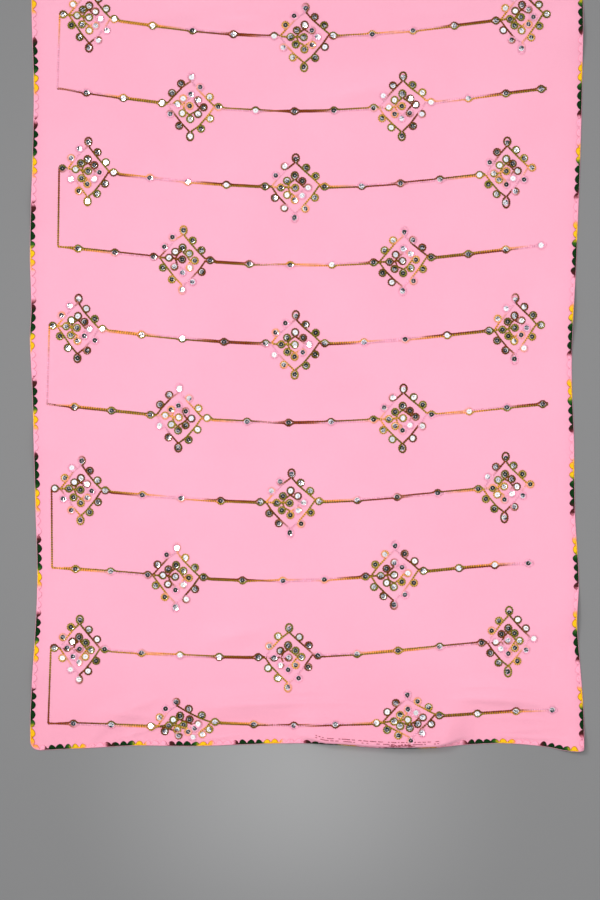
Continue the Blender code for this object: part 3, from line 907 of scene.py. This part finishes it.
def motif_place(row, number, spot):
    """The plan place of a spot of a motif, which is given from its centre."""
    across, up = spot
    centre = ROWS[row][5][number] * MM
    _, _, _, wide, slant = SQUEEZED.get((row, number), EVEN)
    narrowed = MOTIF_WIDE - MOTIF_NARROWS * (centre / MOTIF_OUT) ** 2
    seed = sum(factor * part for factor, part in zip(HAND_SEEDS, (across, up, row, number)))
    off = HAND_SHIFT * np.sin([seed * turn for turn in HAND_TURNS])
    x = centre + (across * narrowed * wide + slant * up + off[0]) * MM
    return on_row(row, x, (up * height_kept(row, number, up) + off[1]) * MM)


def arc(centre, start, sweep, wide=RING_RADIUS, tall=RING_RADIUS):
    """Points along part of a ring, or of an oval, from an angle on."""
    count = max(2, round(abs(sweep) / ARC_STEP) + 1)
    angles = np.radians(np.linspace(start, start + sweep, count))
    return [np.array([centre[0] + wide * math.cos(a), centre[1] + tall * math.sin(a)]) for a in angles]


class Run:
    """A run of chain stitches: points along it, with the length of a stitch on the way to each."""

    def __init__(self):
        self.points, self.pitches, self.marks = [], [], []

    def line(self, point, pitch=STITCH):
        """Straight to a point."""
        self.points.append(np.array(point))
        self.pitches.append(pitch)

    def ring(self, points):
        """Straight to the first point, and with small stitches along the rest."""
        self.line(points[0])
        for point in points[1:]:
            self.line(point, RING_STITCH)

    def side(self, discs, end):
        """Along one side of a diamond, with a full ring round each disc that stands off it."""
        start = self.points[-1]
        for disc in discs:
            travel = unit(end - start)
            foot = start + travel * np.dot(disc - start, travel)
            out = foot - disc
            turn = 1 if travel[0] * (disc - start)[1] > travel[1] * (disc - start)[0] else -1
            self.ring(arc(disc, math.degrees(math.atan2(out[1], out[0])), 360 * turn))
        self.line(end)

    def mark(self):
        """Notes this place as one where the thread's colours are given."""
        self.marks.append(len(self.points) - 1)


def pass_disc(run, disc, side):
    """Over a disc on the vine for side 1, or under it for side -1."""
    run.ring(arc(disc, 180 - RING_OPEN * side, (2 * RING_OPEN - 180) * side))


def vine_places(row, count):
    """Where the vine's discs are across, in groups: before each motif, and after the last one."""
    spots = [[motif_place(row, k, spot)[0] for spot in END_DISCS] for k in range(count)]
    groups = [[]]
    for before, after in zip(spots, spots[1:]):
        groups.append([before[1] + (after[0] - before[1]) * share for share in VINE_SHARES])
    groups.append([])
    if count == 2:
        stretch = VINE_STRETCH.get(row, 1.0) * MM
        groups[0] = [spots[0][0] + x * stretch for x in VINE_BEFORE]
        groups[-1] = [spots[-1][1] + x * stretch for x in VINE_AFTER]
    return groups


def row_discs(row, count, groups):
    """The places of all of a row's discs."""
    discs = [on_row(row, x) for group in groups for x in group]
    on_sides = (spot for pair in SIDE_DISCS for spot in pair)
    around = [*END_DISCS, (0, 0), *TIP_DISCS, *INNER_DISCS, *on_sides]
    return discs + [motif_place(row, k, spot) for k in range(count) for spot in around]


def stitch_row(row):
    """A row's run with the middles of its motifs, its other run, and the places of its discs."""
    count = len(ROWS[row][5])
    # The side of each motif on which the run with the middles goes: over it for 1, under it for -1.
    sides = (-1, 1) if count == 2 else (1, 1, 1)
    groups = vine_places(row, count)
    runs = Run(), Run()
    for own, run in zip((1, -1), runs):
        if count == 2:
            run.line(on_row(row, LINKS[row][0] * MM, own * RUN_APART / 2))
        for number, group in enumerate(groups):
            before, after = sides[max(number - 1, 0)], sides[min(number, count - 1)]
            for k, x in enumerate(group):
                side = own * (before if 2 * k < len(group) - 1 else after)
                run.line(on_row(row, x - RING_MEETS, side * RUN_APART))
                if count == 2 and (number, k) in ((0, 0), (count, len(group) - 1)):
                    run.mark()
                pass_disc(run, on_row(row, x), side)
                run.line(on_row(row, x + RING_MEETS, side * RUN_APART))
            if number < count:
                stitch_motif(row, number, run, own * after, own == 1)
    return runs, row_discs(row, count, groups)


def stitch_motif(row, number, run, side, with_middle):
    """One run's way past a motif: over it for side 1, or under it for side -1."""
    count = len(ROWS[row][5])

    def place(spot):
        return motif_place(row, number, spot)

    left, right = (place(spot) for spot in END_DISCS)
    corners = [place(spot) for spot in OUTER_CORNERS]
    tip = place(TIP_DISCS[0 if side == 1 else 1])
    tip_corner = corners[1 if side == 1 else 3]
    first, second = SIDE_DISCS[:2] if side == 1 else SIDE_DISCS[2:]
    starts = count == 3 and number == 0
    ends = count == 3 and number == count - 1
    if starts:
        run.ring(arc(left, 180, -180 * side))
    else:
        run.line(on_row(row, left[0] - RING_MEETS, side * RUN_APART))
        pass_disc(run, left, side)
    run.line(corners[0])
    if with_middle:
        stitch_middle(run, place, side)
    run.mark()
    run.side([place(spot) for spot in first], tip_corner)
    shrunk = height_kept(row, number, side * TIP_DISCS[0][1])
    tall = max(LOOP * shrunk * MM, abs(tip[1] - tip_corner[1]))
    loop_x = tip_corner[0] * (1 - LOOP_SHARE) + tip[0] * LOOP_SHARE
    loop = (loop_x, tip_corner[1] + side * tall)
    run.ring(arc(loop, -90 * side, -360 * side, RING_RADIUS, tall))
    run.side([place(spot) for spot in second], corners[2])
    if ends:
        run.ring(arc(right, 180, -180 * side))
    else:
        pass_disc(run, right, side)
        run.line(on_row(row, right[0] + RING_MEETS, side * RUN_APART))


# The way round a motif's middle, anticlockwise and clockwise. Columns: disc on the side, corner at
# its end, disc at that corner, direction of the corner from that disc.
MIDDLES = {
    1: ((7, 3, 6, 90), (5, 2, 4, 180), (3, 1, 2, -90), (1, 0, None, 0)),
    -1: ((1, 1, 2, -90), (3, 2, 4, 180), (5, 3, 6, 90), (7, 0, None, 0)),
}


def stitch_middle(run, place, side):
    """From the left corner in to the middle, round its discs, and back."""
    disc = [place(spot) for spot in INNER_DISCS]
    corner = [place(spot) for spot in INNER_CORNERS]
    run.ring(arc(disc[0], 180, 180 * side))
    run.line(corner[0])
    for beside, end, at_end, foot in MIDDLES[side]:
        run.side([disc[beside]], corner[end])
        if at_end:
            tall = RING_RADIUS * (RING_TALL if at_end == UPPER_DISC else 1)
            run.ring(arc(disc[at_end], foot, 360 * side, RING_RADIUS, tall))
    run.ring(arc(place((0, 0)), 180, 360 * side))
    run.line(corner[0])
    run.ring(arc(disc[0], 0, 180 * side))
    run.line(place(OUTER_CORNERS[0]))


def stitches_of(run, way, phases):
    """A run's stitches: (starts, ends, colours, whether on a ring).

    The phases say where the thread is in its cycle of colours at each of the run's marks, and the
    cycle goes along the run for way 1.
    """
    points = np.array(run.points)
    pitch = np.array(run.pitches)[1:]
    steps = np.linalg.norm(np.diff(points, axis=0), axis=1)
    units = np.concatenate([[0], np.cumsum(steps / pitch)])
    length = np.concatenate([[0], np.cumsum(steps)])
    count = round(units[-1])
    at = units[-1] * np.arange(count + 1) / count
    spots = np.stack([np.interp(at, units, points[:, k]) for k in (0, 1)], axis=-1)
    ring = np.interp(at, units, np.concatenate([[0], (pitch < STITCH).astype(float)]))
    gone = np.interp((at[1:] + at[:-1]) / 2, units, length)
    marks = length[run.marks]
    reached = [phases[0]]
    for phase, before, stretch in zip(phases[1:], phases, np.diff(marks)):
        change = phase - before
        reached.append(reached[-1] + change + round(way * stretch / THREAD_CYCLE - change))
    beyond = gone - np.clip(gone, marks[0], marks[-1])
    phase = np.interp(gone, marks, reached) + way * beyond / THREAD_CYCLE
    colours = graded(THREAD_COLOURS, phase % 1)
    # Painted shade on the rings, where the discs shadow the thread; pale thread is spared it.
    dark = np.array(RING_SHADE) * ring[:-1, None] * (1 - np.clip(colours[:, 2:] / PALE, 0, 1))
    return spots[:-1], spots[1:], colours * (1 - dark), ring[:-1]


def strand_shape():
    """One stitch's points as (share along, across, up, light), and its triangles: two strands."""
    points, faces = [], []
    for side in (-1, 1):
        base = len(points)
        for share, out, up, wide, thick, light in STRAND:
            for turn in (90, 210, 330) if wide else (90,):
                cos, sin = math.cos(math.radians(turn)), math.sin(math.radians(turn))
                points.append((share, side * out + wide * cos, up + thick * sin, light))
        tip = base + 7
        for k in range(3):
            low, next_low = base + 1 + k, base + 1 + (k + 1) % 3
            high, next_high = low + 3, next_low + 3
            faces += [(base, next_low, low), (low, next_low, next_high)]
            faces += [(low, next_high, high), (tip, high, next_high)]
    return np.array(points), np.array(faces)


def hem_seam(rng):
    """The dashes above the near hem's roll, as a list of stitches of each row; their dark pink is
    partly painted shade.
    """
    rows = []
    for inward, first, last, share in SEAM_ROWS:
        x = np.arange(first, last, SEAM_DASH) * MM
        spots = np.stack([x, cut_y(-1, x) + inward * MM], axis=-1)
        shown = rng.random(len(spots) - 1) < share
        count = int(shown.sum())
        colours, raised = np.tile(SEAM_AND_SHADE_COLOUR, (count, 1)), np.zeros(count)
        rows.append((spots[:-1][shown], spots[1:][shown], colours, raised))
    return rows


def make_stitches(name, stitches, material, rng, slim=1.0):
    """A piece of the stitches of several runs, with their widths' share."""
    starts, ends, colours, raised = (np.concatenate(part) for part in zip(*stitches))
    shape, faces = strand_shape()
    light = shape[:, 3]
    shape = shape[:, :3] * np.array([1, MM, MM])
    under, out = surface(starts[:, 0], starts[:, 1])
    travel = np.concatenate([ends - starts, np.zeros((len(starts), 1))], axis=1)
    travel -= out * (travel * out).sum(1, keepdims=True)
    across = np.cross(out, unit(travel))
    wide = slim * rng.uniform(*STITCH_WIDTHS, (len(starts), 1, 1))
    high = rng.uniform(*STITCH_HEIGHTS, (len(starts), 1, 1))
    base = under + out * (CLOTH + raised * RING_HEIGHT)[:, None]
    points = base[:, None] + travel[:, None] * shape[:, 0:1]
    points += across[:, None] * shape[:, 1:2] * wide
    points += out[:, None] * shape[:, 2:3] * high
    shades = colours * rng.uniform(*STITCH_SHADES, (len(starts), 1))
    # Pale thread shows its own loops' shade the least.
    light = 1 + (light - 1) * (1 - np.clip(colours[:, 2:] / PALE, 0, PALE_MOST))
    shades = (shades[:, None] * light[..., None]).reshape(-1, 3)
    faces = repeated(faces, len(starts), len(shape))
    piece = new_piece(name, points.reshape(-1, 3), faces, material, shades)
    return piece


def sequin_shape():
    """One sequin's points, which lie round its middle, and its faces."""
    angle = 2 * np.pi * np.arange(DISC_STEPS) / DISC_STEPS
    ring = np.stack([np.cos(angle), np.sin(angle), 0 * angle], axis=-1)
    points = MM * np.concatenate([ring * radius + [0, 0, height] for radius, height in DISC_PROFILE])
    # The back goes straight from the hole's ring to the rim.
    back = grid_faces(2, DISC_STEPS, closed=True)
    back[:, 2:] += (len(DISC_PROFILE) - 2) * DISC_STEPS
    return points, np.concatenate([grid_faces(len(DISC_PROFILE), DISC_STEPS, closed=True), back])


def sequin_tints(count, rng):
    """The sequins' colours, each between cool and warm and of one of the brightnesses."""
    warmth = rng.uniform(0, 1, (count, 1))
    shares, shades = np.array(SILVER_SHADES).T
    cool, warm = np.array(SILVER)
    return rng.choice(shades, (count, 1), p=shares) * (warm * warmth + cool * (1 - warmth))


def make_sequins(spots, material, rng):
    """All the sequins: shallow cups with a hole, each tilted its own way."""
    local, faces = sequin_shape()
    spots = np.array(spots)
    under, out = surface(spots[:, 0], spots[:, 1])
    shares, least, most = np.array(DISC_TILTS).T
    kind = rng.choice(len(shares), len(spots), p=shares)
    lean = np.radians(rng.uniform(least[kind], most[kind]))
    turn = rng.uniform(0, 2 * np.pi, len(spots))
    tilt = lean[:, None] * np.stack([np.cos(turn), np.sin(turn), 0 * turn], axis=-1)
    up = DISC_FOLLOWS * out + (1 - DISC_FOLLOWS) * np.array([0.0, 0.0, 1.0])
    up = unit(up + tilt)
    side = unit(np.cross(up, [0.0, 1.0, 0.0]))
    ahead = np.cross(up, side)
    size = rng.uniform(*DISC_SIZES, (len(spots), 1, 1))
    radius = DISC_PROFILE[-1][0] * MM
    lifted = radius * np.sqrt(np.maximum(0, 1 - (up * out).sum(1) ** 2)) * DISC_KEEPS
    clear = CLOTH + CLEAR + lifted
    points = (under + out * clear[:, None])[:, None] + side[:, None] * local[:, 0:1] * size
    points += ahead[:, None] * local[:, 1:2] * size
    points += up[:, None] * local[:, 2:3]
    tints = np.repeat(sequin_tints(len(spots), rng), len(local), axis=0)
    faces = repeated(faces, len(spots), len(local))
    piece = new_piece("sequins", points.reshape(-1, 3), faces, material, tints, smooth=False)
    return piece


def make_embroidery(yarn, silver):
    """The embroidery's pieces, the sequins and the hem's seam."""
    rng = np.random.default_rng(SEED)
    groups = [[] for _ in EMBROIDERY]
    spots = []
    for row, (way, with_middles, other) in enumerate(DYES):
        (with_middle_run, other_run), discs = stitch_row(row)
        spots += discs
        group = groups[row // ROWS_EACH]
        group.append(stitches_of(with_middle_run, way, with_middles))
        group.append(stitches_of(other_run, -way, other))
        if row in LINKS:
            x, far_phase, near_phase = LINKS[row]
            start = motif_place(row + 1, 0, END_DISCS[0])
            link = Run()
            for point in ((start[0] - LINK_START, start[1]), on_row(row, x * MM)):
                link.line(point)
                link.mark()
            group.append(stitches_of(link, way, (far_phase, near_phase)))
    pieces = [make_stitches(name, group, yarn, rng) for name, group in zip(EMBROIDERY, groups)]
    pieces.append(make_sequins(spots, silver, rng))
    pieces.append(make_stitches("hem_seam", hem_seam(rng), yarn, rng, SEAM_SLIM))
    return pieces


# ---------------- camera, floor and light

VIEW_CENTRE = (-11.5 * MM, -629.3 * MM, 0.0)
VIEW_HEIGHT = 1.478
LENS = 200.0
SENSOR = 36.0

# The floor, with a painted pool of light that makes it palest below the near end. Columns of its
# greys: share of the painted glow's reach, grey.
FLOOR_REACH = 14.0
FLOOR_DROP = 0.2 * MM
FLOOR_GREYS = ((0.0, (0.345,) * 3), (1.0, (0.226,) * 3))
PAINTED_GLOW_CENTRE = (-0.02, -1.15, 0.0)
PAINTED_GLOW_REACH = 0.46
PAINTED_GLOW_UNEVEN = 0.10

# The studio's light by height, with a dark gap straight up, which the flattest sequins mirror.
# Columns: height's sine, colour.
SKY = (
    (0.0, (0.42, 0.43, 0.45)),
    (0.62, (0.78, 0.78, 0.79)),
    (0.88, (0.93, 0.93, 0.94)),
    (0.950, (1.20, 1.20, 1.21)),
    (0.976, (1.15, 1.15, 1.16)),
    (0.981, (0.34, 0.35, 0.43)),
    (0.9880, (0.18, 0.19, 0.25)),
    (0.9918, (0.016, 0.034, 0.020)),
    (1.0, (0.014, 0.028, 0.016)),
)
SUN_ENERGY = 0.98
SUN_ANGLE = 14
SUN_WAY = (0.75, -0.60, -0.68)
# A soft pool of light over the middle of what the camera sees.
POOL_PLACE = (-1.5, 0.3, 4.6)
POOL_AIM = (VIEW_CENTRE[0], VIEW_CENTRE[1] + 0.06, 0.0)
POOL_ENERGY = 180.0
POOL_CONE = 25
POOL_SIZE = 0.4


def make_camera():
    """Looks straight down on the part that the photo shows."""
    data = bpy.data.cameras.new("camera")
    data.lens = LENS
    data.sensor_width = SENSOR
    camera = put("camera", data)
    camera.location = (*VIEW_CENTRE[:2], VIEW_HEIGHT * LENS / SENSOR)
    bpy.context.scene.camera = camera


def floor_grey():
    """Matt grey with a painted pool of light, which fades away from the glow's middle."""
    material, tree, shader, coords = new_material("floor_grey", roughness=0.9)
    away = add(tree, "VectorMath", coords, PAINTED_GLOW_CENTRE, output="Value", operation="DISTANCE")
    # The noise only makes the painted pool of light's edge uneven.
    blotches = noise(tree, coords, 1.2, 2.0)
    uneven = add(tree, "Math", blotches, PAINTED_GLOW_UNEVEN, away, operation="MULTIPLY_ADD")
    share = add(tree, "MapRange", uneven, from_max=PAINTED_GLOW_REACH, interpolation_type="SMOOTHSTEP")
    fill(tree, shader, base_color=ramp(tree, share, FLOOR_GREYS))
    return material


def make_floor():
    """A square that the cloth lies on."""
    mesh = bpy.data.meshes.new("floor")
    corners = ((-1, -1), (1, -1), (1, 1), (-1, 1))
    points = [(x * FLOOR_REACH, y * FLOOR_REACH, -FLOOR_DROP) for x, y in corners]
    mesh.from_pydata(points, [], [(0, 1, 2, 3)])
    mesh.materials.append(floor_grey())
    floor = put("floor", mesh)


def make_sky():
    world = bpy.data.worlds.new("studio")
    bpy.context.scene.world = world
    world.use_nodes = True
    tree = world.node_tree
    direction = add(tree, "TexCoord", output="Generated")
    height = add(tree, "SeparateXYZ", direction, output="Z")
    fill(tree, tree.nodes["Background"], color=ramp(tree, height, SKY), strength=1.0)


def make_lamp(name, kind, way, energy):
    """A lamp that shines this way, as its object and its data."""
    data = bpy.data.lights.new(name, kind)
    data.energy = energy
    lamp = put(name, data)
    lamp.rotation_euler = way.to_track_quat("-Z", "Y").to_euler()
    return lamp, data


def make_lights():
    """A soft sun from the upper left, and the pool of light. Colours are shown as they are."""
    _, sun = make_lamp("key", "SUN", Vector(SUN_WAY), SUN_ENERGY)
    sun.angle = math.radians(SUN_ANGLE)
    pool, spot = make_lamp("pool", "SPOT", Vector(POOL_AIM) - Vector(POOL_PLACE), POOL_ENERGY)
    pool.location = POOL_PLACE
    spot.spot_size = math.radians(POOL_CONE)
    spot.spot_blend = 1.0
    spot.shadow_soft_size = POOL_SIZE
    bpy.context.scene.view_settings.view_transform = "Standard"


# ---------------- all of it

make_camera()
make_floor()
make_sky()
make_lights()
outline = Outline()
cloth = make_cloth(georgette())
crochet = thread("lace_thread", twist=900.0, roughness=0.7, sheen=0.0, specular=0.08)
trims = [make_lace(outline, crochet, *row) for row in LACES]
yarn = thread("embroidery_thread", twist=1500.0, roughness=0.6, sheen=0.02, specular=0.15)
decoration = make_embroidery(yarn, mirror())
